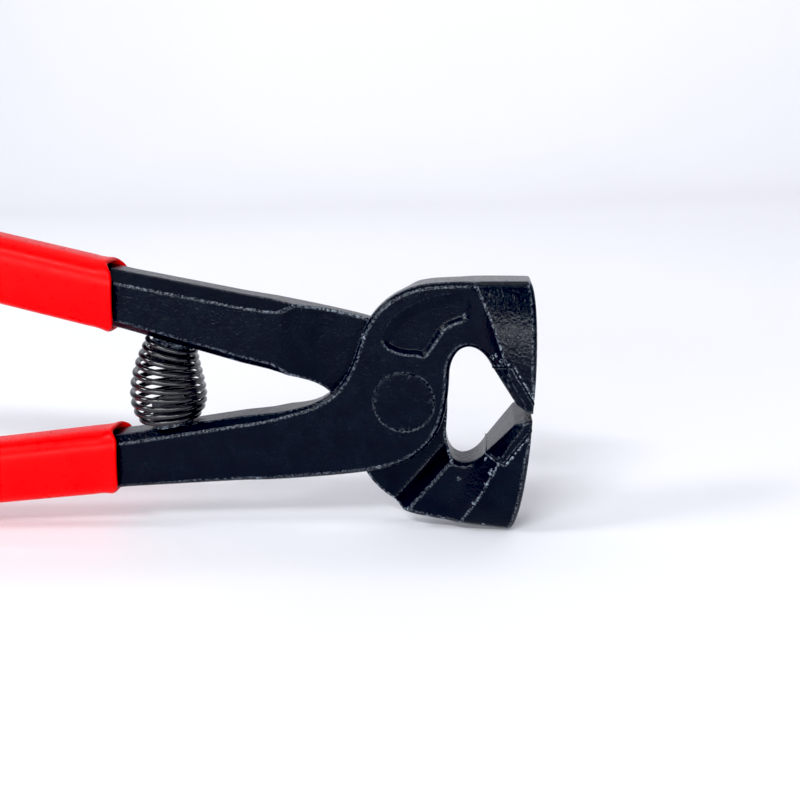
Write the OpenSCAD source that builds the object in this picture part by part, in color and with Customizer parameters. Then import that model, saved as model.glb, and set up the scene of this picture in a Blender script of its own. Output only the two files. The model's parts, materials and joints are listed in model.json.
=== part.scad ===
// Tile nippers: two crossed forged levers on a flush rivet, with brazed carbide cutting
// inserts, a barrel return spring on two pegs, and dipped vinyl grips.
// The jaws point along +X, the pivot lies along Y and the two levers mirror each other
// about the X axis. The origin is the centre of the whole tool at rest. Millimetres.

/* [Overall] */
// Distance from the pivot to the closed ends of the grips
handle_reach = 178; // [160:1:190]
// Distance from the pivot to the front of the jaws
jaw_reach = 26; // [25.8:0.1:26.4]

/* [Levers] */
// Thickness of the forged levers
plate_t = 8.8; // [8:0.2:9.6]
// Half the angle between the inner edges of the two handles
spread = 12.85; // [12:0.05:13.5]
// Chamfer along the inner edges of the handles
inner_chamfer = 1.6; // [1:0.1:2]
// Wide chamfer along one outer edge of each handle, where the grips start
outer_chamfer = 2.6; // [1.5:0.1:3]
// Small chamfer along the other outer edge of each handle
edge_break = 0.7; // [0.4:0.1:1.2]
// Gap between the two levers where they lap at the pivot
lap_gap = 0.2; // [0.1:0.05:0.4]
// Depth of the plain kidney-shaped recess on the outside of each head
recess_depth = 0.8; // [0.4:0.1:1]

/* [Jaws] */
// Width of the cutting edges
jaw_w = 19; // [16:0.5:22]
// Gap between the two cutting edges at rest
bite_gap = 1; // [0.8:0.1:1.6]
// Thickness of the braze behind each carbide insert
braze_t = 0.25; // [0.2:0.05:0.4]

/* [Pivot] */
// Diameter of the rivet's shank
rivet_d = 8; // [7:0.5:9]
// Diameter of the rivet's flush head
rivet_head_d = 12; // [11:0.5:13]
// Thickness of the rivet's flush head
rivet_head_t = 2; // [1.5:0.1:2.4]
// Radial running clearance between the rivet and the lever that turns on it
rivet_clearance = 0.06; // [0.03:0.01:0.1]
// Depth of the rivet's peened tail, and how far it spreads past the shank
tail_lip = 1.2; // [0.8:0.1:1.5]

/* [Spring] */
// Diameter of the spring wire
wire_d = 1.2; // [1:0.1:1.2]
// Number of turns
spring_turns = 10; // [8:0.5:10]
// Mean coil radius at the two ends
coil_end_r = 4.9; // [4.9:0.05:5.5]
// Mean coil radius at the widest part of the barrel
coil_mid_r = 7.4; // [6.6:0.1:7.8]
// Height that each peg stands above its handle
peg_h = 5.6; // [4:0.1:6]
// Radius of a peg at its foot
peg_r = 4.1; // [3.5:0.1:4.1]
// Depth of the hole that a peg's shank is pressed into
peg_depth = 5; // [4:0.5:6]
// Diameter of that shank
peg_shank_d = 4; // [3:0.5:5]

/* [Grips] */
// Distance from the pivot to the open mouths of the grips
mouth_reach = 60.4; // [60:0.1:64]
// Height of a grip
grip_h = 14.7; // [14:0.1:15]
// Thickness of a grip
grip_t = 12; // [11.5:0.1:13]
// Cut across the corners of a grip
grip_corner = 3.4; // [3:0.1:3.6]
// Length of the rounded nose at the closed end of a grip, and how much it narrows
grip_nose = 5; // [4:0.5:6]

/* [Hidden] */

eps = 0.01;
curve_steps = 10;
// The pivot sits this far in front of the middle of the tool
pivot_x = (handle_reach - jaw_reach) / 2;
// The inner edges of the handles meet at this X, measured from the pivot
apex_x = -8.9;
// The spring's axis is an arc of this radius about that point
spring_r = 41.2;
// Facets of the spring wire
ring_sides = 8;
rings_per_turn = 16;
ring_count = spring_turns * rings_per_turn;
// The wire's middle starts this far off each handle's face, as an angle about the apex
end_lift = (wire_d / 2 + 0.15) / spring_r * 180 / PI;
tip_z = bite_gap / 2;
bore_r = rivet_d / 2 + rivet_clearance;

// Carbide insert, from the cutting edge round to its inner face
insert_tip = [jaw_reach, tip_z];
insert_front = [jaw_reach, tip_z + 2];
insert_back = [21, 10];
insert_end = [17.4, 8.8];
insert_bevel = [22.6, 2];

// Handle stations, measured from the pivot: where they are and how high the bar is there
lap_station = -26;
bend_station = -90;
bar_end = -handle_reach + 3;
taper_station = -132;
bar_stations = [lap_station, -58, bend_station, taper_station, bar_end];
grip_stations = [-mouth_reach, bend_station, taper_station, -handle_reach + grip_nose];

// A cubic curve from a to d, pulled towards b and c
function curve(a, b, c, d) = [
    for (i = [0:curve_steps]) let (t = i / curve_steps, s = 1 - t)
        s*s*s*a + 3*s*s*t*b + 3*s*t*t*c + t*t*t*d
];

// Height of a handle's middle line below the X axis, straight and then bending in
function handle_drop(x) =
    let (past = max(0, bend_station - x)) 11.35 + 0.18 * (lap_station - x) - 0.0005 * past * past;

// Height of the bar: wide at the head, then an even taper to its end
function bar_height(x) = lookup(x, [[-180, 10.9], [-90, 11.6], [-58, 11.8], [-26, 14.8]]);

// Wide outer chamfer: full size along the grip, gone at the head
function outer_cut(x) = lookup(x, [[-60, outer_chamfer], [-26, edge_break]]);

// Side outline of the head and jaw of the lever whose jaw is above the axis
head_outline = concat(
    [[-28, -4.9]],
    curve([-19, -2.8], [-13.5, -0.9], [-11, 6.5], [-9.4, 13.5]),
    curve([-9.4, 13.5], [-8.2, 18.4], [-3.1, 23.8], [5.6, 24.8]),
    curve([23.4, 26.1], [25, 25.3], [25.8, 15], [jaw_reach, 8]),
    [insert_tip, insert_bevel],
    curve(insert_end, [16.4, 10.6], [14.8, 12.2], [12.6, 12.2]),
    curve([12.6, 12.2], [10.8, 12.1], [9.2, 10.6], [8.9, 7]),
    curve([9.1, -1], [8.6, -7], [2.5, -15.6], [-10, -16.3]),
    [[-28, -19.2]]
);

// The three shoulders that the jaw swells through, each with its half width
jaw_sections = [
    [plate_t / 2, [[10.9, 10], [10.6, 26], [24, 26.5]]],
    [jaw_w / 2 * 0.9, [[17.4, 16], [25.4, 19.5], [jaw_reach, 12]]],
    [jaw_w / 2, [[24.1, 2], [jaw_reach, tip_z], [jaw_reach, 9], [22, 6.5]]]
];

// Space left for the other lever at the lap: its floor and its mouth at the outer face
lap_floor = [[-17.5, -30], [-17.5, 30], [-5, 30], [0.9, 20.3], [7.5, 11.6], [14, 3], [14, -30]];
lap_mouth = [[-26, -30], [-26, 30], [-3, 30], [3.4, 21.3], [10.2, 12.4], [17, 3.4], [17, -30]];

// Kidney-shaped recess on the outside of the head
recess_outline = concat(
    curve([-4.8, 10.8], [-1, 9.4], [2, 10.4], [3.4, 9.5]),
    curve([4.4, 10.1], [6.4, 13.6], [6.8, 15.6], [10.8, 17.8]),
    curve([10.4, 22.6], [4, 24], [-6.4, 18.6], [-5.4, 12.8])
);

// Moves children from the pivot's own place to the tool's frame
module at_pivot() {
    translate([pivot_x, 0, 0]) children();
}

// Turns the lever with the upper jaw into the one with the lower jaw
module turned_over() {
    rotate([180, 0, 0]) children();
}

// A side outline in X and Z, as a slab from y0 to y1
module slab(outline, y0, y1) {
    translate([0, y1, 0]) rotate([90, 0, 0]) linear_extrude(y1 - y0) polygon(outline);
}

// One thin cross-section of a handle: a rectangle with cut corners, at x and centred on z
module bar_section(x, z, thick, high, inner, outer, near_outer) {
    y = thick / 2;
    top = high / 2;
    translate([x, 0, z]) rotate([90, 0, 90]) linear_extrude(eps) polygon([
        [y, top - inner], [y - inner, top], [inner - y, top], [-y, top - inner],
        [-y, near_outer - top], [near_outer - y, -top], [y - outer, -top], [y, outer - top]
    ]);
}

// The forged bar of a handle, from its head to inside its grip
module bar() {
    for (i = [0:len(bar_stations) - 2]) hull() {
        for (x = [bar_stations[i], bar_stations[i + 1]])
            bar_section(x, -handle_drop(x), plate_t, bar_height(x), inner_chamfer, outer_cut(x),
                edge_break);
    }
}

// Swelling outer shape of the jaw, before the throat is cut out of it
module jaw_swell() {
    hull() {
        for (s = jaw_sections) slab(s[1], -s[0], s[0]);
    }
}

// Pocket for the carbide and its braze
module carbide_seat() {
    seat = [
        insert_tip - [0, 3], insert_tip + [3, 0], insert_front + [3, 2 * braze_t],
        insert_front + [0, 2 * braze_t], insert_back + [0.3, 1.1] * braze_t,
        insert_end + [-0.5, 0.9] * braze_t, insert_end - [3, 0], insert_bevel - [3, 0]
    ];
    slab(seat, -jaw_w, jaw_w);
}

// Puts children on the middle of a handle's inner face, with +Z straight out of it
module at_peg() {
    translate([apex_x, 0, 0]) rotate([0, -spread, 0]) translate([-spring_r, 0, 0]) children();
}

// The forging that both levers start from, without its bore: upper jaw, lower handle.
// The lap takes away the half of the head on the +Y side.
module forging() {
    difference() {
        union() {
            slab(head_outline, -plate_t / 2, plate_t / 2);
            bar();
            intersection() {
                slab(head_outline, -jaw_w / 2, jaw_w / 2);
                jaw_swell();
            }
        }
        hull() {
            slab(lap_floor, -lap_gap / 2, eps);
            slab(lap_mouth, plate_t / 2, plate_t / 2 + 1);
        }
        slab(recess_outline, -plate_t, recess_depth - plate_t / 2);
        carbide_seat();
        at_peg() translate([0, 0, -peg_depth]) cylinder(h = 2 * peg_depth, d = peg_shank_d, $fn = 48);
    }
}

// Cylinder along Y from y0 to y1
module y_cylinder(r, y0, y1) {
    translate([0, y1, 0]) rotate([90, 0, 0]) cylinder(h = y1 - y0, r = r, $fn = 96);
}

// Upper jaw and lower handle. It turns on the rivet, whose head sits flush in it.
module front_lever() {
    color([0.04, 0.05, 0.08]) at_pivot() difference() {
        forging();
        y_cylinder(bore_r, -plate_t, plate_t);
        y_cylinder(
            rivet_head_d / 2 + rivet_clearance,
            -plate_t, rivet_head_t + rivet_clearance - plate_t / 2
        );
    }
}

// Lower jaw and upper handle. The rivet is peened over into a shallow seat on its far side.
module rear_lever() {
    color([0.04, 0.05, 0.08]) at_pivot() difference() {
        turned_over() forging();
        y_cylinder(rivet_d / 2, -plate_t, plate_t);
        y_cylinder(rivet_d / 2 + tail_lip, plate_t / 2 - tail_lip, plate_t);
    }
}

// Solid rivet: flush head, shank and peened tail
module pivot_rivet() {
    color([0.05, 0.06, 0.09]) at_pivot() union() {
        y_cylinder(rivet_head_d / 2, -plate_t / 2, rivet_head_t - plate_t / 2);
        y_cylinder(rivet_d / 2, -plate_t / 2, plate_t / 2);
        y_cylinder(rivet_d / 2 + tail_lip, plate_t / 2 - tail_lip, plate_t / 2);
    }
}

// Hard cutting insert, trimmed to the swell of the jaw
module carbide() {
    intersection() {
        slab([insert_tip, insert_front, insert_back, insert_end, insert_bevel], -jaw_w, jaw_w);
        jaw_swell();
    }
}

// Thin layer of braze between the insert and its seat
module braze() {
    intersection() {
        difference() {
            carbide_seat();
            slab([
                insert_tip - [0, 3], insert_tip + [3, 0], insert_front + [3, 0], insert_front,
                insert_back, insert_end, insert_end - [3, 0], insert_bevel - [3, 0]
            ], -2 * jaw_w, 2 * jaw_w);
        }
        slab(head_outline, -jaw_w / 2, jaw_w / 2);
        jaw_swell();
    }
}

module upper_carbide() {
    color([0.30, 0.31, 0.34]) at_pivot() carbide();
}

module lower_carbide() {
    color([0.30, 0.31, 0.34]) at_pivot() turned_over() carbide();
}

module upper_braze() {
    color([0.62, 0.55, 0.35]) at_pivot() braze();
}

module lower_braze() {
    color([0.62, 0.55, 0.35]) at_pivot() turned_over() braze();
}

// Spring wire: a helix on a bent axis that stands square on both handles.
// Middle of the axis at u, which runs from 0 at the lower handle to 1 at the upper
function axis_angle(u) =
    let (closed = u - 0.02 * sin(360 * u)) (end_lift - spread) + closed * 2 * (spread - end_lift);
function outward(u) = [-cos(axis_angle(u)), 0, sin(axis_angle(u))];
// The barrel is widest a little below its middle
function coil_r(u) =
    coil_end_r + (coil_mid_r - coil_end_r) * pow(max(0, sin(180 * pow(max(0, u), 0.66))), 1.25);
function wire_side(u) =
    let (turn = 360 * spring_turns * u) cos(turn) * outward(u) + sin(turn) * [0, 1, 0];
function wire_point(u) =
    [apex_x, 0, 0] + spring_r * outward(u) + coil_r(u) * wire_side(u);
function unit(v) = v / norm(v);
function wire_ring(u) =
    let (
        along = unit(wire_point(u + 0.001) - wire_point(u - 0.001)),
        across = unit(cross(along, wire_side(u))),
        out = cross(across, along)
    )
    [for (k = [0:ring_sides - 1]) let (a = 360 * k / ring_sides)
        wire_point(u) + wire_d / 2 * (cos(a) * out + sin(a) * across)];

module return_spring() {
    points = [for (i = [0:ring_count]) for (p = wire_ring(i / ring_count)) p];
    last = ring_count * ring_sides;
    sides = [for (i = [0:ring_count - 1]) for (k = [0:ring_sides - 1])
        let (a = i * ring_sides + k, b = i * ring_sides + (k + 1) % ring_sides)
            [a, b, b + ring_sides, a + ring_sides]];
    start_cap = [[for (k = [0:ring_sides - 1]) ring_sides - 1 - k]];
    end_cap = [[for (k = [0:ring_sides - 1]) last + k]];
    color([0.06, 0.06, 0.07]) at_pivot()
        polyhedron(points, concat(start_cap, sides, end_cap), convexity = 10);
}

// Tapered peg that holds one end of the spring, pressed into the handle's inner face
module peg() {
    at_peg() {
        cylinder(h = peg_h, r1 = peg_r, r2 = peg_r - 0.6, $fn = 64);
        translate([0, 0, -peg_depth]) cylinder(h = peg_depth + eps, d = peg_shank_d, $fn = 48);
    }
}

module lower_spring_peg() {
    color([0.05, 0.06, 0.09]) at_pivot() peg();
}

module upper_spring_peg() {
    color([0.05, 0.06, 0.09]) at_pivot() turned_over() peg();
}

// Dipped sleeve around a handle, closed at its end
module grip() {
    difference() {
        for (i = [0:len(grip_stations) - 2]) hull() {
            for (x = [grip_stations[i], grip_stations[i + 1]])
                bar_section(x, -handle_drop(x), grip_t, grip_h, grip_corner, grip_corner,
                    grip_corner);
            if (i == len(grip_stations) - 2)
                bar_section(-handle_reach, -handle_drop(-handle_reach),
                    grip_t - grip_nose, grip_h - grip_nose, grip_corner - 1, grip_corner - 1,
                    grip_corner - 1);
        }
        bar();
    }
}

module lower_grip() {
    color([0.92, 0.07, 0.08]) at_pivot() grip();
}

module upper_grip() {
    color([0.92, 0.07, 0.08]) at_pivot() turned_over() grip();
}

front_lever();
rear_lever();
pivot_rivet();
upper_carbide();
lower_carbide();
upper_braze();
lower_braze();
return_spring();
upper_spring_peg();
lower_spring_peg();
upper_grip();
lower_grip();
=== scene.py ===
"""Looks of a pair of tile nippers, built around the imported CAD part.

Shapes are worked out in millimetres from the pivot, with X toward the jaws, Y along the
pivot and Z up, and are then moved into the part's own frame in metres.
"""

import json
import math

import bpy
import numpy as np
from mathutils import Matrix, Vector


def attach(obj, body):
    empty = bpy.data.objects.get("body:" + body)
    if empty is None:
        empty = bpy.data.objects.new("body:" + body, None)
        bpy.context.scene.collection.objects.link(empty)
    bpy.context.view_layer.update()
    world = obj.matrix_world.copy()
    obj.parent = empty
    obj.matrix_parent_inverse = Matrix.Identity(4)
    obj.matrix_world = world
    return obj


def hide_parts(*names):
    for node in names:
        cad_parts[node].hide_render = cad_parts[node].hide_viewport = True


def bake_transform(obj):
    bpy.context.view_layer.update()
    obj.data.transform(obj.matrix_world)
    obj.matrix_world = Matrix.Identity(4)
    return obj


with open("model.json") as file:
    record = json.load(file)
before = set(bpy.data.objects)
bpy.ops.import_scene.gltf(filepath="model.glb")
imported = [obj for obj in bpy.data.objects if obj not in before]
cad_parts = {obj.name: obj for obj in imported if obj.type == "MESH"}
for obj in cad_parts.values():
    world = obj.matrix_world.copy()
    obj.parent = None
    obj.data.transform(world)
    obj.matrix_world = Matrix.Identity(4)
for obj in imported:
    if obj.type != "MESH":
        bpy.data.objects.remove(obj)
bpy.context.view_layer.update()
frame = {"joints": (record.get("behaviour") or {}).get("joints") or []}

MM = 0.001
PIVOT = np.array(frame["joints"][0]["pos_m"])

# Sizes of the CAD part, in millimetres
PLATE = 4.4            # half thickness of the forging
JAW_TIP = 26.0         # how far the jaw reaches
JAW_HALF = 9.5         # half width at the cutting edge
JAW_TOP = 26.6         # height at which the jaw is back to the forging's thickness
TIP_Z = 0.5            # half the gap between the cutting edges
DROP_FROM = -26.0      # where the handle's drop below the axis is stated
DROP = 11.35           # drop of the handle's middle line there
DROP_SLOPE = 0.18      # how fast it grows toward the rear
BEND_AT = -90.0        # behind this the handle bends back in
BEND = 0.0005          # how strongly it bends
BAR_END = -175.0       # rear end of the bar inside its grip
MOUTH = -60.4          # open end of a grip
GRIP_END = -178.0      # closed end of a grip
BORE_R = 4.06          # pivot bore
HEAD_R = 6.0           # rivet head
HEAD_T = 2.0
TAIL_R = 5.2           # peened tail of the rivet
TAIL_T = 1.2
LAP_GAP = 0.1          # clearance between the two halves of the lap
WALL_LEAN = 0.58       # how much the lap's upright wall leans per mm of depth
LAP_END = -17.5        # where the lap runs out toward the handle
LAP_SLOPE = 1.9        # how much that end slopes per mm of depth

# Spring and pegs: the coil's axis is an arc about this apex, between the two handles
APEX_X = -8.9
SPRING_ARM = 41.2                # radius of that arc
SPREAD = math.radians(12.85)     # slope of each handle's inner face


# ---------------------------------------------------------------- small maths helpers

def smooth(t):
    """Smooth step of t from 0 to 1."""
    t = np.clip(t, 0.0, 1.0)
    return t * t * (3.0 - 2.0 * t)


def ramp(v, lo, hi):
    """Smooth step of v from 0 at lo to 1 at hi."""
    return smooth((v - lo) / (hi - lo))


def mix(a, b, t):
    """From a at t = 0 to b at t = 1."""
    return a + (b - a) * t


def join_max(a, b, k):
    """Maximum of a and b with a rounding of about k where they cross."""
    h = np.clip(0.5 + 0.5 * (a - b) / k, 0.0, 1.0)
    return b + (a - b) * h + k * h * (1.0 - h)


def cubic(a, b, c, d, steps=14):
    """Points on a cubic curve from a to d, pulled toward b and c."""
    t = np.linspace(0.0, 1.0, steps + 1)[:, None]
    s = 1.0 - t
    a, b, c, d = (np.array(p, float) for p in (a, b, c, d))
    return s**3 * a + 3 * s * s * t * b + 3 * s * t * t * c + t**3 * d


def signed_distance(x, z, outline):
    """Distance of points to a closed outline, negative inside it."""
    shape = np.broadcast(x, z).shape
    px = np.broadcast_to(x, shape).ravel()
    pz = np.broadcast_to(z, shape).ravel()
    best = np.full(px.shape, np.inf)
    inside = np.zeros(px.shape, bool)
    ends = np.roll(outline, -1, axis=0)
    for (sx, sz), (ex, ez) in zip(outline, ends):
        dx, dz = ex - sx, ez - sz
        length2 = dx * dx + dz * dz
        if length2 < 1e-12:
            continue
        qx, qz = px - sx, pz - sz
        t = np.clip((qx * dx + qz * dz) / length2, 0.0, 1.0)
        best = np.minimum(best, (qx - t * dx) ** 2 + (qz - t * dz) ** 2)
        if abs(dz) > 1e-12:
            crosses = (sz > pz) != (ez > pz)
            inside ^= crosses & (qx < dx * qz / dz)
    return (np.where(inside, -1.0, 1.0) * np.sqrt(best)).reshape(shape)


# ---------------------------------------------------------------- outline of a forging

def handle_drop(x):
    """How far the middle line of the handle is below the axis."""
    past = np.maximum(0.0, BEND_AT - x)
    return DROP + DROP_SLOPE * (DROP_FROM - x) - BEND * past * past


def bar_height(x):
    """Height of the bar: it tapers from the head to its rear end."""
    return np.interp(x, [-180.0, -90.0, -58.0, -26.0], [10.7, 11.5, 11.8, 14.8])


def bar_edge(stations, side):
    """Points along the inner (side 1) or outer (side -1) edge of the bar."""
    x = np.array(stations, float)
    return np.stack([x, -handle_drop(x) + side * bar_height(x) / 2.0], 1)


BAR_STATIONS = np.concatenate([np.linspace(BAR_END, BEND_AT, 18), [-58.0, -42.0, -34.0]])
# The insert from its tip round its outer corner to the throat
INSERT = np.array([[JAW_TIP, TIP_Z], [JAW_TIP, 2.5], [21.0, 10.0], [17.4, 8.8], [22.6, 2.0]])
# The whole forging with its insert, clockwise from the rear end's inner corner
OUTLINE = np.concatenate([
    bar_edge(BAR_STATIONS, 1),
    # crotch, crown, top of the jaw and its front
    cubic([-28, -4.7], [-17.5, -2.2], [-12.6, -0.4], [-9.7, 12.0])[:-1],
    cubic([-9.7, 12.0], [-8.3, 18.2], [-3.2, 23.9], [5.6, 24.8])[:-1],
    cubic([5.6, 24.8], [10.0, 25.3], [16.0, 25.8], [23.5, 26.1])[:-1],
    cubic([23.5, 26.1], [25.0, 25.4], [25.8, 15], [JAW_TIP, 8]),
    # ground edge, throat and the head's lower front
    INSERT[[0, 4]],
    cubic(INSERT[3], [16.4, 10.6], [14.8, 12.2], [12.6, 12.2])[:-1],
    cubic([12.6, 12.2], [10.8, 12.1], [9.2, 10.6], [8.9, 7.0])[:-1],
    cubic([8.9, 7.0], [9.1, -1.0], [8.6, -7.0], [3.0, -11.6])[:-1],
    cubic([3.0, -11.6], [-1.6, -15.2], [-8.0, -16.4], [-28, -19.2]),
    bar_edge(BAR_STATIONS[::-1], -1),
])
# The recess on the head lies above the first of these lines and below the second
RECESS_LOW = np.concatenate([
    [[-14.0, 9.0]],
    cubic([-5.4, 12.4], [-2.0, 8.6], [2.0, 10.6], [3.4, 9.5])[:-1],
    cubic([3.4, 9.5], [4.2, 9.7], [6.0, 13.4], [6.8, 14.8])[:-1],
    cubic([6.8, 14.8], [7.8, 16.4], [10.0, 17.4], [16.0, 18.9]),
    [[16.0, 40.0], [-14.0, 40.0]],
])
RECESS_HIGH = np.concatenate([
    cubic([16.0, 24.0], [4.0, 24.0], [-4.4, 19.6], [-5.8, 12.0]),
    [[-5.8, -10.0], [16.0, -10.0]],
])
# The insert's seat, cut a little past it to leave room for the braze
SEAT = np.array([
    [JAW_TIP, -3.0], [JAW_TIP + 3, -3.0], [JAW_TIP + 3, 3.0], [JAW_TIP, 3.0],
    [21.1, 10.3], [17.25, 9.0], [15.4, 6.0], [21.7, -2.0],
])


def jaw_half_width(z):
    """Half width of the jaw at its sides: widest at the cutting edge, thin at the top."""
    up = np.clip((z - 1.0) / (JAW_TOP - 1.0), 0.0, 1.0)
    return PLATE - 0.2 + (JAW_HALF + 0.2 - PLATE) * (1.0 - up**2.6) ** 0.8


def ridge_x(z):
    """Where the jaw's flare reaches its full width."""
    return np.interp(z, [2.4, 6.3, 11.1, 16.0, 19.2, 23.3, 26.7],
                     [24.2, 21.6, 19.5, 17.5, 16.0, 13.9, 12.0])


def crease_x(z):
    """Where the jaw starts to flare."""
    return np.interp(z, [12.0, 21.0, 27.0], [12.3, 9.9, 8.5])


def flare(x, z):
    """How far the jaw stands out past the forging's side, hollow up to its ridge."""
    u = np.clip((x - crease_x(z)) / (ridge_x(z) - crease_x(z)), 0.0, 1.0)
    return (jaw_half_width(z) - PLATE) * u * (0.12 + 0.88 * u)


def side_plan(x, z):
    """What the lever's two sides need at each point of its outline."""
    edge = signed_distance(x, z, OUTLINE)
    drop, high = handle_drop(x), bar_height(x)
    # each of these goes from 0 to 1: on the head, on the bar's outer half, where the
    # far bevel has faded out, and at the cutting tip
    head = ramp(x, -34.0, -20.0)
    above = (z + drop) / (high / 2.0)
    outer = ramp(-above, -0.35, 0.35)
    fade = ramp(x, -30.0, -18.0)
    tip = ramp(x, 19.0, 23.0) * (1.0 - ramp(z, 5.0, 9.0))
    # the handle's sides lean in a little toward its outer edge
    lean = 0.03 * np.clip(high / 2.0 - (z + drop), 0.0, high) * (1.0 - head)
    half = PLATE + flare(x, z) + 0.1 * (1.0 - head) - lean
    # the recess: a steep lower wall, a soft upper one, and an end that runs out
    sink = 0.9 * np.clip(-signed_distance(x, z, RECESS_LOW) / 0.95, 0.0, 1.0)
    sink = sink * smooth(-signed_distance(x, z, RECESS_HIGH) / 2.6)
    sink = sink * (1.0 - ramp(x, 10.4, 13.0))
    # the lap's wall slants down the head and then stands upright behind the jaw
    wall = join_max(0.797 * (x - 0.9) + 0.604 * (z - 20.3), x - 14.0, 1.5)

    def bevel(inner, outer_edge, on_head):
        """Bevel width on the bar's two edges and on the head; the tip is kept crisp."""
        on_bar = mix(inner, outer_edge, outer)
        return mix(mix(on_bar, 0.8, on_head), 0.25, tip)

    return {
        "x": x, "edge": edge, "half": half, "sink": sink, "wall": wall,
        "near_cut": bevel(1.6, 0.7, head),
        "far_cut_z": bevel(1.6, 2.3, fade),
        "far_cut_y": bevel(1.6, 2.7, fade),
        "seat": signed_distance(x, z, SEAT),
        "radius": np.hypot(x, z),
    }


def forging_body(plan, y):
    """Below 0 inside the forging before its lap, seat and bore are cut."""
    edge = plan["edge"]
    near = y < 0
    side = np.abs(y) - plan["half"] + np.where(near, plan["sink"], 0.0)
    cz = np.where(near, plan["near_cut"], plan["far_cut_z"])
    cy = np.where(near, plan["near_cut"], plan["far_cut_y"])
    bevel = (cy * edge + cz * side + cy * cz) / np.hypot(cy, cz)
    return join_max(join_max(edge, side, 0.3), bevel, 0.25)


def forging_field(plan, y, front):
    """Below 0 inside the forging. front picks the seat of the rivet's head or its tail."""
    body = forging_body(plan, y)
    # the lap: the other lever's half of the head
    deep = y + LAP_GAP
    lap_wall = (plan["wall"] - WALL_LEAN * deep) / math.hypot(1.0, WALL_LEAN)
    lap_slope = (LAP_END - plan["x"] - LAP_SLOPE * deep) / math.hypot(1.0, LAP_SLOPE)
    lap = join_max(join_max(-deep, lap_wall, 0.9), lap_slope, 0.9)
    body = join_max(body, -lap, 0.5)
    body = join_max(body, -plan["seat"], 0.12)
    r = plan["radius"]
    if front:
        seat = join_max(r - HEAD_R - 0.01, y + PLATE - HEAD_T - 0.06, 0.1)
    else:
        seat = join_max(r - TAIL_R, PLATE - TAIL_T - y, 0.1)
    hole = np.minimum(r - BORE_R, seat)
    return join_max(body, -hole, 0.12)


# ---------------------------------------------------------------- meshing a field

def surface_net(xs, ys, zs, values):
    """Vertices and quads around the zero level of values on a grid."""
    inside = values < 0.0
    nx, ny, nz = values.shape
    corners = [inside[i:nx - 1 + i, j:ny - 1 + j, k:nz - 1 + k]
               for i in (0, 1) for j in (0, 1) for k in (0, 1)]
    total = sum(c.astype(np.int8) for c in corners)
    mixed = (total > 0) & (total < 8)
    index = np.full(mixed.shape, -1)
    index[mixed] = np.arange(mixed.sum())
    summed = np.zeros((int(mixed.sum()), 3))
    count = np.zeros(int(mixed.sum()))
    grids = (xs, ys, zs)
    quads = []
    for axis in range(3):
        lo = [slice(None)] * 3
        hi = [slice(None)] * 3
        lo[axis], hi[axis] = slice(0, -1), slice(1, None)
        a, b = values[tuple(lo)], values[tuple(hi)]
        edges = np.argwhere((a < 0.0) != (b < 0.0))
        va, vb = a[tuple(edges.T)], b[tuple(edges.T)]
        t = va / (va - vb)
        point = np.stack([grids[n][edges[:, n]] for n in range(3)], 1)
        step = grids[axis][edges[:, axis] + 1] - grids[axis][edges[:, axis]]
        point[:, axis] += t * step
        u, v = (axis + 1) % 3, (axis + 2) % 3
        around = []
        for du, dv in ((-1, -1), (0, -1), (0, 0), (-1, 0)):
            cell = edges.copy()
            cell[:, u] += du
            cell[:, v] += dv
            good = np.all((cell >= 0) & (cell < np.array(mixed.shape)), axis=1)
            ids = np.where(good, index[tuple(np.where(good[:, None], cell, 0).T)], -1)
            around.append(ids)
            np.add.at(summed, ids[ids >= 0], point[ids >= 0])
            np.add.at(count, ids[ids >= 0], 1)
        quad = np.stack(around, 1)
        flip = va > 0.0
        quad[flip] = quad[flip][:, ::-1]
        quads.append(quad[(quad >= 0).all(1)])
    return summed / count[:, None], np.concatenate(quads)


def settle(verts, quads, field, rounds=3, relax=2):
    """Evens the mesh out and moves its vertices onto the field's zero level."""
    h = 0.02               # step for the field's slope
    longest = 0.15         # most that a vertex moves at once

    def push(p, times):
        """Moves points down the field's slope onto its zero level."""
        for _ in range(times):
            here = field(p)
            slope = np.stack([
                field(p + np.eye(3)[n] * h) - here for n in range(3)
            ], 1) / h
            move = here[:, None] * slope / np.maximum((slope**2).sum(1), 1e-3)[:, None]
            length = np.linalg.norm(move, axis=1, keepdims=True)
            p = p - move * np.minimum(1.0, longest / np.maximum(length, 1e-9))
        return p

    pairs = np.concatenate([quads[:, [n, (n + 1) % 4]] for n in range(4)])
    verts = push(verts, 1)
    for _ in range(relax):
        total = np.zeros_like(verts)
        count = np.zeros(len(verts))
        np.add.at(total, pairs[:, 0], verts[pairs[:, 1]])
        np.add.at(count, pairs[:, 0], 1)
        verts = verts + 0.5 * (total / count[:, None] - verts)
        verts = push(verts, 1)
    return push(verts, rounds)


def to_frame(points):
    """Points in millimetres about the pivot, as metres in the part's frame."""
    return (np.asarray(points) * MM + PIVOT).tolist()


def new_mesh(name, verts, faces, material, node, body=None):
    """A piece, from vertices in millimetres about the pivot, that stands for a CAD node."""
    mesh = bpy.data.meshes.new(name)
    mesh.from_pydata(to_frame(verts), [], [list(map(int, f)) for f in faces])
    mesh.validate()
    mesh.polygons.foreach_set("use_smooth", [True] * len(mesh.polygons))
    mesh.update()
    mesh.materials.append(material)
    obj = bpy.data.objects.new(name, mesh)
    bpy.context.scene.collection.objects.link(obj)
    if body:
        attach(obj, body)
    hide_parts(node)
    return obj


def turned_over(points):
    """Half a turn about X: what makes the rear lever's parts from the front one's."""
    return np.asarray(points) * np.array([1.0, -1.0, -1.0])


def new_pair(verts, faces, material, front, rear):
    """A piece of the front lever and its turned-over twin. front and rear: (name, node)."""
    return (new_mesh(front[0], verts, faces, material, front[1], "front"),
            new_mesh(rear[0], turned_over(verts), faces, material, rear[1], "rear"))


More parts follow.
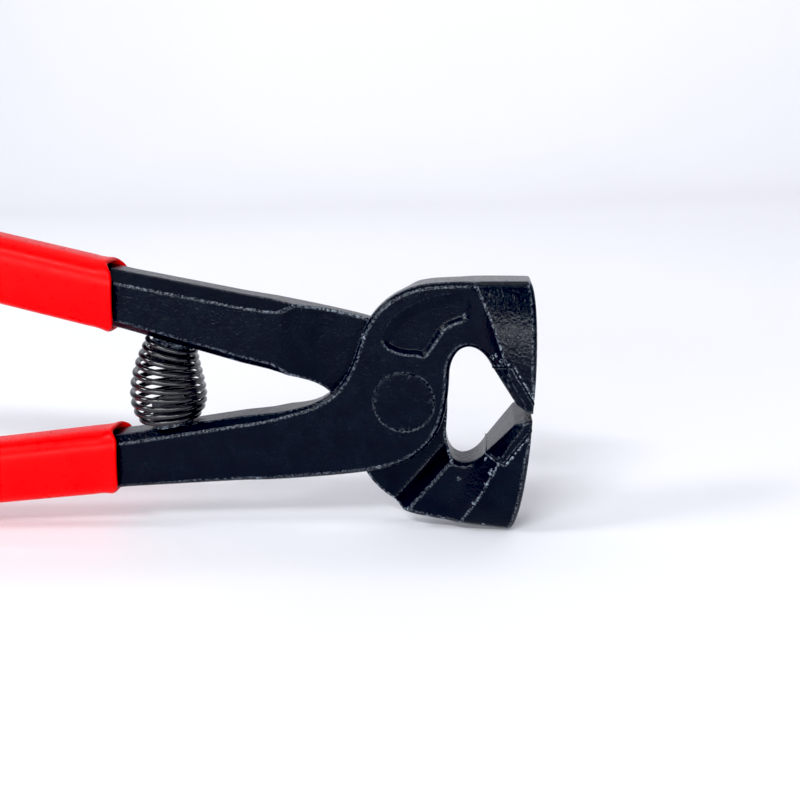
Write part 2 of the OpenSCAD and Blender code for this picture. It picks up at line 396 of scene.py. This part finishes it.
def sharp_by_angle(obj, degrees):
    """Keeps hard edges hard where two faces meet at more than this angle."""
    obj.data.set_sharp_from_angle(angle=math.radians(degrees))


# ---------------------------------------------------------------- materials

def start_material(name):
    """A new material with its nodes, links, shader and coordinates."""
    mat = bpy.data.materials.new(name)
    mat.use_nodes = True
    nodes, links = mat.node_tree.nodes, mat.node_tree.links
    nodes.clear()
    out = nodes.new("ShaderNodeOutputMaterial")
    shader = nodes.new("ShaderNodeBsdfPrincipled")
    links.new(shader.outputs["BSDF"], out.inputs["Surface"])
    coords = nodes.new("ShaderNodeTexCoord")
    return mat, nodes, links, shader, coords


def noise(nodes, links, coords, scale, detail=2.0, rough=0.5, distort=0.0):
    """Noise over the object, with its patches about 1 / scale metres across."""
    n = nodes.new("ShaderNodeTexNoise")
    n.inputs["Scale"].default_value = scale
    n.inputs["Detail"].default_value = detail
    n.inputs["Roughness"].default_value = rough
    n.inputs["Distortion"].default_value = distort
    links.new(coords.outputs["Object"], n.inputs["Vector"])
    return n


def color_ramp(nodes, links, source, first, last):
    """Turns a value into a colour between two stops, each (value, colour)."""
    r = nodes.new("ShaderNodeValToRGB")
    for element, (place, colour) in zip(r.color_ramp.elements, (first, last)):
        element.position = place
        element.color = (*colour, 1.0)
    links.new(source, r.inputs["Fac"])
    return r.outputs["Color"]


def value_range(nodes, links, source, lo, hi, out_lo, out_hi):
    """Maps a value from lo..hi to out_lo..out_hi."""
    m = nodes.new("ShaderNodeMapRange")
    m.inputs["From Min"].default_value = lo
    m.inputs["From Max"].default_value = hi
    m.inputs["To Min"].default_value = out_lo
    m.inputs["To Max"].default_value = out_hi
    links.new(source, m.inputs["Value"])
    return m.outputs["Result"]


def bump(nodes, links, height, distance, strength, below=None):
    """Bump of a height in metres, on top of another bump if one is given."""
    b = nodes.new("ShaderNodeBump")
    b.inputs["Distance"].default_value = distance
    b.inputs["Strength"].default_value = strength
    links.new(height, b.inputs["Height"])
    if below is not None:
        links.new(below, b.inputs["Normal"])
    return b.outputs["Normal"]


def multiply(nodes, links, a, b):
    """The product of two values."""
    m = nodes.new("ShaderNodeMath")
    m.operation = "MULTIPLY"
    links.new(a, m.inputs[0])
    links.new(b, m.inputs[1])
    return m.outputs["Value"]


NAVY = (0.0008, 0.0014, 0.0050)
TEAL = (0.0014, 0.0034, 0.0078)
# colour of the painted highlight specks on the edges
GLINT_COLOUR = (0.25, 0.29, 0.35)


def painted_steel(name, dark, light, rough, grain=1.0, specular=0.13, edge_glint=1.0):
    """Thin glossy dark paint over a forged, slightly grained surface, with painted highlight
    specks along its convex edges.
    """
    mat, nodes, links, shader, coords = start_material(name)
    mottle = noise(nodes, links, coords, 260.0, 3.0, 0.55)
    colour = color_ramp(nodes, links, mottle.outputs["Fac"], (0.35, dark), (0.68, light))
    # painted highlight: pale specks along the convex outer edges, standing in for glints of
    # light
    bend = nodes.new("ShaderNodeNewGeometry")
    edge = value_range(nodes, links, bend.outputs["Pointiness"], 0.509, 0.545, 0.0, 1.0)
    dots = noise(nodes, links, coords, 2100.0, 2.0, 0.6)
    speck = value_range(nodes, links, dots.outputs["Fac"], 0.44, 0.66, 0.0, edge_glint)
    # but the painted highlight specks are much fainter on the rivet and its rim
    away = nodes.new("ShaderNodeVectorMath")
    away.operation = "MULTIPLY_ADD"
    away.inputs[1].default_value = (1.0, 0.0, 1.0)
    away.inputs[2].default_value = (-float(PIVOT[0]), 0.0, -float(PIVOT[2]))
    links.new(coords.outputs["Object"], away.inputs[0])
    reach = nodes.new("ShaderNodeVectorMath")
    reach.operation = "LENGTH"
    links.new(away.outputs["Vector"], reach.inputs[0])
    clear = value_range(nodes, links, reach.outputs["Value"],
                        (HEAD_R + 0.6) * MM, (HEAD_R + 1.2) * MM, 0.22, 1.0)
    amount = multiply(nodes, links, multiply(nodes, links, edge, speck), clear)
    glinted = nodes.new("ShaderNodeMix")
    glinted.data_type = "RGBA"
    links.new(amount, glinted.inputs["Factor"])
    links.new(colour, glinted.inputs["A"])
    glinted.inputs["B"].default_value = (*GLINT_COLOUR, 1.0)
    links.new(glinted.outputs["Result"], shader.inputs["Base Color"])
    patch = noise(nodes, links, coords, 1500.0, 2.0, 0.6)
    gloss = value_range(nodes, links, patch.outputs["Fac"], 0.35, 0.65,
                        rough - 0.07, rough + 0.05)
    links.new(gloss, shader.inputs["Roughness"])
    # fine orange peel in the paint over the coarser grain of the forging
    peel = noise(nodes, links, coords, 1700.0, 2.0, 0.5, 0.3)
    forged = noise(nodes, links, coords, 480.0, 2.0, 0.5)
    first = bump(nodes, links, forged.outputs["Fac"], 0.00010 * grain, 0.6)
    second = bump(nodes, links, peel.outputs["Fac"], 0.00010 * grain, 0.9, first)
    links.new(second, shader.inputs["Normal"])
    shader.inputs["Specular IOR Level"].default_value = specular
    shader.inputs["IOR"].default_value = 1.5
    return mat


def vinyl(name):
    """Glossy dipped vinyl with the slow ripples that dipping leaves."""
    mat, nodes, links, shader, coords = start_material(name)
    cloud = noise(nodes, links, coords, 90.0, 2.0, 0.5)
    colour = color_ramp(nodes, links, cloud.outputs["Fac"],
                        (0.3, (0.68, 0.003, 0.003)), (0.7, (0.76, 0.0045, 0.004)))
    links.new(colour, shader.inputs["Base Color"])
    haze = noise(nodes, links, coords, 500.0, 2.0, 0.5)
    links.new(value_range(nodes, links, haze.outputs["Fac"], 0.3, 0.7, 0.26, 0.36),
              shader.inputs["Roughness"])
    dip = noise(nodes, links, coords, 120.0, 1.0, 0.4)
    fine = noise(nodes, links, coords, 1500.0, 2.0, 0.5)
    first = bump(nodes, links, dip.outputs["Fac"], 0.00025, 0.5)
    second = bump(nodes, links, fine.outputs["Fac"], 0.00001, 0.6, first)
    links.new(second, shader.inputs["Normal"])
    shader.inputs["Specular IOR Level"].default_value = 0.06
    return mat


steel_paint = painted_steel("forged_paint", NAVY, TEAL, 0.22)
rivet_paint = painted_steel("rivet_paint", NAVY, TEAL, 0.22)
peg_paint = painted_steel("peg_paint", (0.002, 0.002, 0.004), (0.005, 0.006, 0.009), 0.35,
                          grain=0.6)
wire_paint = painted_steel("wire_paint", (0.003, 0.003, 0.004), (0.008, 0.008, 0.010), 0.16,
                           grain=0.15, specular=0.6, edge_glint=0.0)
# the inserts get a quarter of the painted edge highlight specks
carbide_paint = painted_steel("carbide_paint", NAVY, TEAL, 0.24, grain=0.8, edge_glint=0.25)
braze_paint = painted_steel("braze_paint", NAVY, TEAL, 0.26, grain=0.8, edge_glint=0.0)
red_vinyl = vinyl("red_vinyl")


# ---------------------------------------------------------------- levers

def grid_steps():
    """Grid for the forging: fine at the head, coarse along the bar inside its grip."""
    fine = 0.3
    fine_from, hidden_to = -30.0, MOUTH - 6.0
    # steps along the handle grow slowly, so that no row of faces stands out
    grown = np.minimum(0.9, fine * 1.06 ** np.arange(1, 90))
    bare = fine_from - np.cumsum(grown)
    xs = np.concatenate([
        np.linspace(BAR_END - 1.5, hidden_to, 40)[:-1],
        bare[bare > hidden_to][::-1],
        np.arange(fine_from, JAW_TIP + 1.0, fine),
    ])
    ys = np.arange(-JAW_HALF - 0.65, JAW_HALF + 0.9, fine)
    zs = np.arange(-44.0, JAW_TOP + 1.5, fine)
    return xs, ys, zs


def make_forging(front):
    """One lever; the rear one is made in the front one's place and then turned over."""
    xs, ys, zs = grid_steps()
    plan = side_plan(xs[:, None, None], zs[None, None, :])
    values = forging_field(plan, ys[None, :, None], front)
    verts, quads = surface_net(xs, ys, zs, values)

    def at(p):
        return forging_field(side_plan(p[:, 0], p[:, 2]), p[:, 1], front)

    return settle(verts, quads, at), quads


verts, quads = make_forging(True)
new_mesh("front_lever_forged", verts, quads, steel_paint, "front_lever",
         "front")
verts, quads = make_forging(False)
new_mesh("rear_lever_forged", turned_over(verts), quads, steel_paint,
         "rear_lever", "rear")


# ---------------------------------------------------------------- inserts and braze

def make_insert():
    """The insert: its outline, cut to the sides of the forging around it."""
    step = 0.2
    xs = np.arange(16.8, 26.8, step)
    ys = np.arange(-JAW_HALF - 0.5, JAW_HALF + 0.6, step * 1.5)
    zs = np.arange(-0.1, 10.9, step)

    def value(x, y, z):
        return join_max(signed_distance(x, z, INSERT), forging_body(side_plan(x, z), y), 0.1)

    values = value(xs[:, None, None], ys[None, :, None], zs[None, None, :])
    verts, quads = surface_net(xs, ys, zs, values)
    return settle(verts, quads, lambda p: value(p[:, 0], p[:, 1], p[:, 2])), quads


verts, quads = make_insert()
new_pair(verts, quads, carbide_paint, ("upper_insert_ground", "upper_carbide"),
         ("lower_insert_ground", "lower_carbide"))


def make_braze():
    """A thin layer between the insert and its seat, as wide as the jaw is there."""
    inner, outer = INSERT[1:4], SEAT[3:6]
    steps = 24
    pairs = [(mix(inner[leg], inner[leg + 1], i / steps),
              mix(outer[leg], outer[leg + 1], i / steps))
             for leg in (0, 1) for i in range(steps)]
    pairs.append((inner[2], outer[2]))
    verts, faces = [], []
    for p, q in pairs:
        middle = (p + q) / 2.0
        # a bead that stands a little prouder along its middle than at its edges
        row = [(at, PLATE + flare(at[0], at[1]) + proud)
               for at, proud in ((p, -0.03), (middle, 0.02), (q, -0.03))]
        for side in (-1, 1):
            verts += [(at[0], side * half, at[1]) for at, half in row]
    around = (0, 1, 2, 5, 4, 3)
    rings = [[6 * i + k for k in around] for i in range(len(pairs))]
    for ring, following in zip(rings, rings[1:]):
        for k in range(6):
            n = (k + 1) % 6
            faces.append([ring[k], ring[n], following[n], following[k]])
    faces.append(rings[0][::-1])
    faces.append(rings[-1])
    return np.array(verts), faces


verts, faces = make_braze()
new_pair(verts, faces, braze_paint, ("upper_braze_bead", "upper_braze"),
         ("lower_braze_bead", "lower_braze"))


# ---------------------------------------------------------------- turned pieces

def lathe(profile, sides):
    """Profile of (radius, height) pairs turned about +Z, closed at both ends."""
    verts, faces = [], []
    rings = []
    for r, h in profile:
        if r < 1e-6:
            verts.append((0.0, 0.0, h))
            rings.append([len(verts) - 1] * sides)
        else:
            start = len(verts)
            for k in range(sides):
                a = 2 * math.pi * k / sides
                verts.append((r * math.cos(a), r * math.sin(a), h))
            rings.append(list(range(start, start + sides)))
    for lo, hi in zip(rings, rings[1:]):
        for k in range(sides):
            n = (k + 1) % sides
            face = [lo[k], lo[n], hi[n], hi[k]]
            unique = list(dict.fromkeys(face))
            if len(unique) > 2:
                faces.append(unique)
    return np.array(verts), faces


def arc(cx, cy, r, start, end, steps):
    """Points on an arc about (cx, cy), with its angles in degrees."""
    return [(cx + r * math.cos(math.radians(a)), cy + r * math.sin(math.radians(a)))
            for a in np.linspace(start, end, steps + 1)]


def along_y(points):
    """Turns a lathed shape so that its axis runs along +Y."""
    p = np.asarray(points)
    return np.stack([p[:, 0], p[:, 2], -p[:, 1]], 1)


def make_rivet():
    """The rivet from its slightly domed head over its shank to its peened tail."""
    low = -PLATE
    lip, brim, shank = 0.12, 0.4, BORE_R - 0.06
    profile = [(0.0, low - 0.12), (1.5, low - 0.115), (3.2, low - 0.09), (4.6, low - 0.05),
               (HEAD_R - lip, low)]
    profile += arc(HEAD_R - lip, low + lip, lip, -90, 0, 5)[1:]
    profile += [(HEAD_R, low + HEAD_T), (shank, low + HEAD_T),
                (shank, PLATE - TAIL_T), (TAIL_R, PLATE - TAIL_T)]
    profile += arc(TAIL_R - brim, PLATE - brim, brim, 0, 90, 5)
    profile += [(3.0, PLATE + 0.05), (0.0, PLATE + 0.08)]
    verts, faces = lathe(profile, 128)
    return along_y(verts), faces


verts, faces = make_rivet()
rivet = new_mesh("pivot_rivet_turned", verts, faces, rivet_paint,
                 "pivot_rivet", "rear")
sharp_by_angle(rivet, 50)


def on_lower_handle(points):
    """Puts a shape with +Z up on the inner face of the lower handle."""
    p = np.asarray(points)
    turn = -SPREAD
    x = p[:, 0] * math.cos(turn) + p[:, 2] * math.sin(turn)
    z = -p[:, 0] * math.sin(turn) + p[:, 2] * math.cos(turn)
    arm = np.array([APEX_X - SPRING_ARM * math.cos(turn), 0.0, SPRING_ARM * math.sin(turn)])
    return np.stack([x, p[:, 1], z], 1) + arm


def make_peg():
    """A peg: a shank pressed into the handle and a tapered stub inside the coil."""
    shank, depth, sunk = 1.95, -4.8, -0.02
    foot, top, high, brim = 4.05, 3.5, 5.6, 0.7
    profile = [(0.0, depth), (shank, depth), (shank, sunk), (foot, sunk)]
    profile += [(foot - 0.05, 0.2), (mix(foot, top, 0.5), high / 2)]
    profile += arc(top - brim, high - brim, brim, 5, 90, 6)
    profile += [(0.0, high)]
    return lathe(profile, 64)


verts, faces = make_peg()
pegs = new_pair(on_lower_handle(verts), faces, peg_paint,
                ("lower_peg_turned", "lower_spring_peg"),
                ("upper_peg_turned", "upper_spring_peg"))
for piece in pegs:
    sharp_by_angle(piece, 50)


# ---------------------------------------------------------------- return spring

WIRE_R = 0.6
WIRE_SIDES = 14
TURNS = 10.0
STEPS_PER_TURN = 56
END_R, MID_R = 4.9, 7.4    # coil radius at its ends and at its widest


def tube(points, side_dirs, radius, sides):
    """A round tube along points, with side_dirs pointing away from the coil's axis."""
    points = np.asarray(points)
    along = np.gradient(points, axis=0)
    along /= np.linalg.norm(along, axis=1, keepdims=True)
    across = np.cross(along, side_dirs)
    across /= np.linalg.norm(across, axis=1, keepdims=True)
    out = np.cross(across, along)
    angles = np.arange(sides) * 2 * math.pi / sides
    rings = points[:, None, :] + radius[:, None, None] * (
        np.cos(angles)[None, :, None] * out[:, None, :]
        + np.sin(angles)[None, :, None] * across[:, None, :])
    verts = rings.reshape(-1, 3)
    faces = []
    for i in range(len(points) - 1):
        for k in range(sides):
            n = (k + 1) % sides
            faces.append([i * sides + k, i * sides + n, (i + 1) * sides + n,
                          (i + 1) * sides + k])
    last = (len(points) - 1) * sides
    faces.append(list(range(sides))[::-1])
    faces.append([last + k for k in range(sides)])
    return verts, faces


def make_spring():
    """The barrel coil, from the lower handle's face to the upper one's."""
    n = int(TURNS * STEPS_PER_TURN)
    u = np.linspace(0.0, 1.0, n + 1)
    lift = (WIRE_R + 0.15) / SPRING_ARM
    # the turns close up a little toward both ends
    closed = u - 0.02 * np.sin(2 * math.pi * u)
    angle = (lift - SPREAD) + closed * 2 * (SPREAD - lift)
    out = np.stack([-np.cos(angle), np.zeros_like(u), np.sin(angle)], 1)
    # the barrel is widest a little below its middle
    coil = END_R + (MID_R - END_R) * np.maximum(0.0, np.sin(math.pi * u**0.66)) ** 1.25
    turn = 2 * math.pi * TURNS * u
    side = np.cos(turn)[:, None] * out + np.sin(turn)[:, None] * np.array([0.0, 1.0, 0.0])
    points = np.array([APEX_X, 0.0, 0.0]) + SPRING_ARM * out + coil[:, None] * side
    # the wire's cut ends are rounded off over three steps
    end = np.minimum(np.arange(n + 1), np.arange(n + 1)[::-1]) / 3.0
    radius = WIRE_R * np.sqrt(np.clip(1.0 - (1.0 - np.clip(end, 0.0, 1.0)) ** 2, 0.15, 1.0))
    return tube(points, side, radius, WIRE_SIDES)


verts, faces = make_spring()
spring = new_mesh("return_spring_wound", verts, faces, wire_paint,
                  "return_spring")
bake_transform(spring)


# ---------------------------------------------------------------- grips

GRIP_HALF_Y = 5.9
GRIP_HALF_Z = 7.05
RIM_BOW = 1.6          # how far the mouth's rim bows along the handle
NOSE = 6.0             # length of the rounded rear end
SQUARE = 0.62          # 1 is an ellipse, 0 a rectangle
GRIP_SIDES = 72


def grip_section(x, half_y, half_z, power):
    """A rounded section of the grip across the handle at x."""
    a = np.linspace(0.0, 2 * math.pi, GRIP_SIDES, endpoint=False)
    c, s = np.cos(a), np.sin(a)
    y = half_y * np.sign(c) * np.abs(c) ** power
    z = half_z * np.sign(s) * np.abs(s) ** power
    # the rim of the dip reaches further along the flat sides than along the edges
    bow = RIM_BOW * (ramp(np.abs(c), 0.3, 0.95) - 0.6) * ramp(x, MOUTH - 9.0, MOUTH)
    at = x + bow
    return np.stack([at, y, z - handle_drop(at)], 1)


def grip_half_z(x):
    """Half height of the grip: a little more at its mouth than further back."""
    return mix(GRIP_HALF_Z, GRIP_HALF_Z + 0.2, ramp(x, -92.0, MOUTH))


def make_grip():
    """The lower handle's grip: a sleeve with an open mouth and a closed nose."""
    # outside, from the mouth's lip back to the rounded nose
    outside = []
    for back, proud in ((0.0, 0.0), (0.12, 0.17), (0.35, 0.25), (0.7, 0.22), (1.3, 0.11),
                        (2.2, 0.01), (3.4, -0.05)):
        x = MOUTH - back
        outside.append((x, GRIP_HALF_Y + proud, grip_half_z(x) + proud, SQUARE))
    for x in np.linspace(MOUTH - 5.0, GRIP_END + NOSE, 44):
        outside.append((x, GRIP_HALF_Y, grip_half_z(x), SQUARE))
    for a in np.linspace(8, 86, 10):
        s, c = math.sin(math.radians(a)), math.cos(math.radians(a))
        narrow = 0.25 + 0.75 * c
        outside.append((GRIP_END + NOSE - NOSE * s, GRIP_HALF_Y * narrow, GRIP_HALF_Z * narrow,
                        mix(SQUARE, 0.8, s)))
    # inside, against the bar, from its rear end out to the lip
    inside = []
    for x in np.linspace(BAR_END + 0.5, MOUTH - 5.0, 40):
        inside.append((x, PLATE + 0.02, bar_height(x) / 2.0 + 0.02, 0.42))
    for back, gap in ((3.5, 0.08), (2.4, 0.2), (1.4, 0.36), (0.7, 0.5), (0.3, 0.62),
                      (0.08, 0.85)):
        x = MOUTH - back
        inside.append((x, PLATE + gap, bar_height(x) / 2.0 + gap + 0.1, mix(0.5, 0.6, gap)))
    rings = [grip_section(*row) for row in outside[::-1] + inside[::-1]]
    verts = [np.array([[GRIP_END, 0.0, -handle_drop(GRIP_END)]])] + rings
    faces = []
    for k in range(GRIP_SIDES):
        faces.append([0, 1 + k, 1 + (k + 1) % GRIP_SIDES])
    for i in range(len(rings) - 1):
        a, b = 1 + i * GRIP_SIDES, 1 + (i + 1) * GRIP_SIDES
        for k in range(GRIP_SIDES):
            n = (k + 1) % GRIP_SIDES
            faces.append([a + k, b + k, b + n, a + n])
    last = 1 + (len(rings) - 1) * GRIP_SIDES
    faces.append([last + k for k in range(GRIP_SIDES)])
    return np.concatenate(verts), faces


verts, faces = make_grip()
grips = new_pair(verts, faces, red_vinyl, ("lower_grip_dipped", "lower_grip"),
                 ("upper_grip_dipped", "upper_grip"))
for piece in grips:
    sharp_by_angle(piece, 60)


# ---------------------------------------------------------------- camera, floor and light

# The photograph's viewpoint: in front of the head, looking a little to the left and down
CAMERA_AT = Vector((0.08665, -0.1978, 0.05518))
YAW, PITCH, ROLL = (math.radians(a) for a in (-3.38, 15.77, 2.85))
forward = Vector((math.sin(YAW) * math.cos(PITCH), math.cos(YAW) * math.cos(PITCH),
                  -math.sin(PITCH)))
right = Vector((math.cos(YAW), -math.sin(YAW), 0.0))
up = right.cross(forward)
right, up = (math.cos(ROLL) * right + math.sin(ROLL) * up,
             -math.sin(ROLL) * right + math.cos(ROLL) * up)
lens = bpy.data.cameras.new("camera")
lens.lens = 44.5
lens.sensor_width = 36.0
lens.clip_start = 0.01
lens.clip_end = 50.0
camera = bpy.data.objects.new("camera", lens)
camera.matrix_world = Matrix((
    (right.x, up.x, -forward.x, CAMERA_AT.x),
    (right.y, up.y, -forward.y, CAMERA_AT.y),
    (right.z, up.z, -forward.z, CAMERA_AT.z),
    (0, 0, 0, 1),
))
bpy.context.scene.collection.objects.link(camera)
bpy.context.scene.camera = camera

# The tool stands on the end of its lower grip and the corner of its lower jaw:
# their places (X, Z) in millimetres about the pivot.
FOOT_BACK = np.array([-176.0, -42.4])
FOOT_FRONT = np.array([23.0, -26.4])


def make_floor():
    """A pale floor under the two feet, in metres, that curves up into a backdrop."""
    run = FOOT_FRONT - FOOT_BACK
    slope = math.atan2(run[1], run[0])
    middle = (FOOT_BACK + FOOT_FRONT) / 2.0
    half_width, near, far, top = 3.0, -1.6, 0.9, 2.6
    curve, steps = 0.6, 24
    rows = [(near, 0.0), (far, 0.0)]
    for i in range(1, steps + 1):
        a = math.radians(90.0 * i / steps)
        rows.append((far + curve * math.sin(a), curve * (1.0 - math.cos(a))))
    rows.append((far + curve, top))
    mesh = bpy.data.meshes.new("floor")
    verts = [(x, y, h) for y, h in rows for x in (-half_width, half_width)]
    faces = [[2 * i, 2 * i + 1, 2 * i + 3, 2 * i + 2] for i in range(len(rows) - 1)]
    mesh.from_pydata(verts, [], faces)
    mesh.polygons.foreach_set("use_smooth", [True] * len(mesh.polygons))
    mesh.update()
    obj = bpy.data.objects.new("floor", mesh)
    obj.rotation_euler = (0.0, -slope, 0.0)
    obj.location = Vector(to_frame([[middle[0], 0.0, middle[1]]])[0])
    bpy.context.scene.collection.objects.link(obj)
    mat, nodes, links, shader, coords = start_material("pale_floor")
    cloud = noise(nodes, links, coords, 3.0, 1.0)
    colour = color_ramp(nodes, links, cloud.outputs["Fac"],
                        (0.3, (0.86, 0.86, 0.90)), (0.7, (0.88, 0.88, 0.92)))
    links.new(colour, shader.inputs["Base Color"])
    shader.inputs["Roughness"].default_value = 0.9
    shader.inputs["Specular IOR Level"].default_value = 0.0
    mesh.materials.append(mat)


make_floor()


def area_light(name, place, target, size, power, colour=(1.0, 1.0, 1.0)):
    """A rectangular lamp at place that points at target, with its power in watts."""
    data = bpy.data.lights.new(name, "AREA")
    data.shape = "RECTANGLE"
    data.size, data.size_y = size
    data.energy = power
    data.color = colour
    obj = bpy.data.objects.new(name, data)
    obj.location = place
    direction = Vector(target) - Vector(place)
    obj.rotation_euler = direction.to_track_quat("-Z", "Y").to_euler()
    bpy.context.scene.collection.objects.link(obj)


COOL = (0.93, 0.97, 1.0)
area_light("overhead", (0.0, 0.15, 1.3), (0.0, 0.05, 0.0), (1.6, 1.2), 4.5)
area_light("key", (-0.35, -0.95, 0.85), (0.05, 0.0, 0.0), (0.6, 0.08), 8.0, (0.95, 0.98, 1.0))
area_light("window", (0.0, -1.5, 0.33), (0.0, 0.0, 0.0), (3.0, 0.16), 30.0, COOL)
area_light("side_window", (-1.0, -0.35, 0.75), (0.08, 0.0, 0.0), (0.3, 0.3), 6.0, COOL)
area_light("backdrop_wash", (0.0, 0.5, 1.2), (0.0, 1.4, 0.5), (2.0, 0.5), 6.5)

world = bpy.data.worlds.new("studio")
bpy.context.scene.world = world
world.use_nodes = True
background = world.node_tree.nodes["Background"]
background.inputs["Color"].default_value = (0.95, 0.96, 1.0, 1.0)
background.inputs["Strength"].default_value = 0.2

view = bpy.context.scene.view_settings
view.view_transform = "Standard"
view.look = "None"
# a little extra contrast in the deepest tones
view.use_curve_mapping = True
view.curve_mapping.black_level = (0.0084, 0.0084, 0.0064)
view.curve_mapping.update()
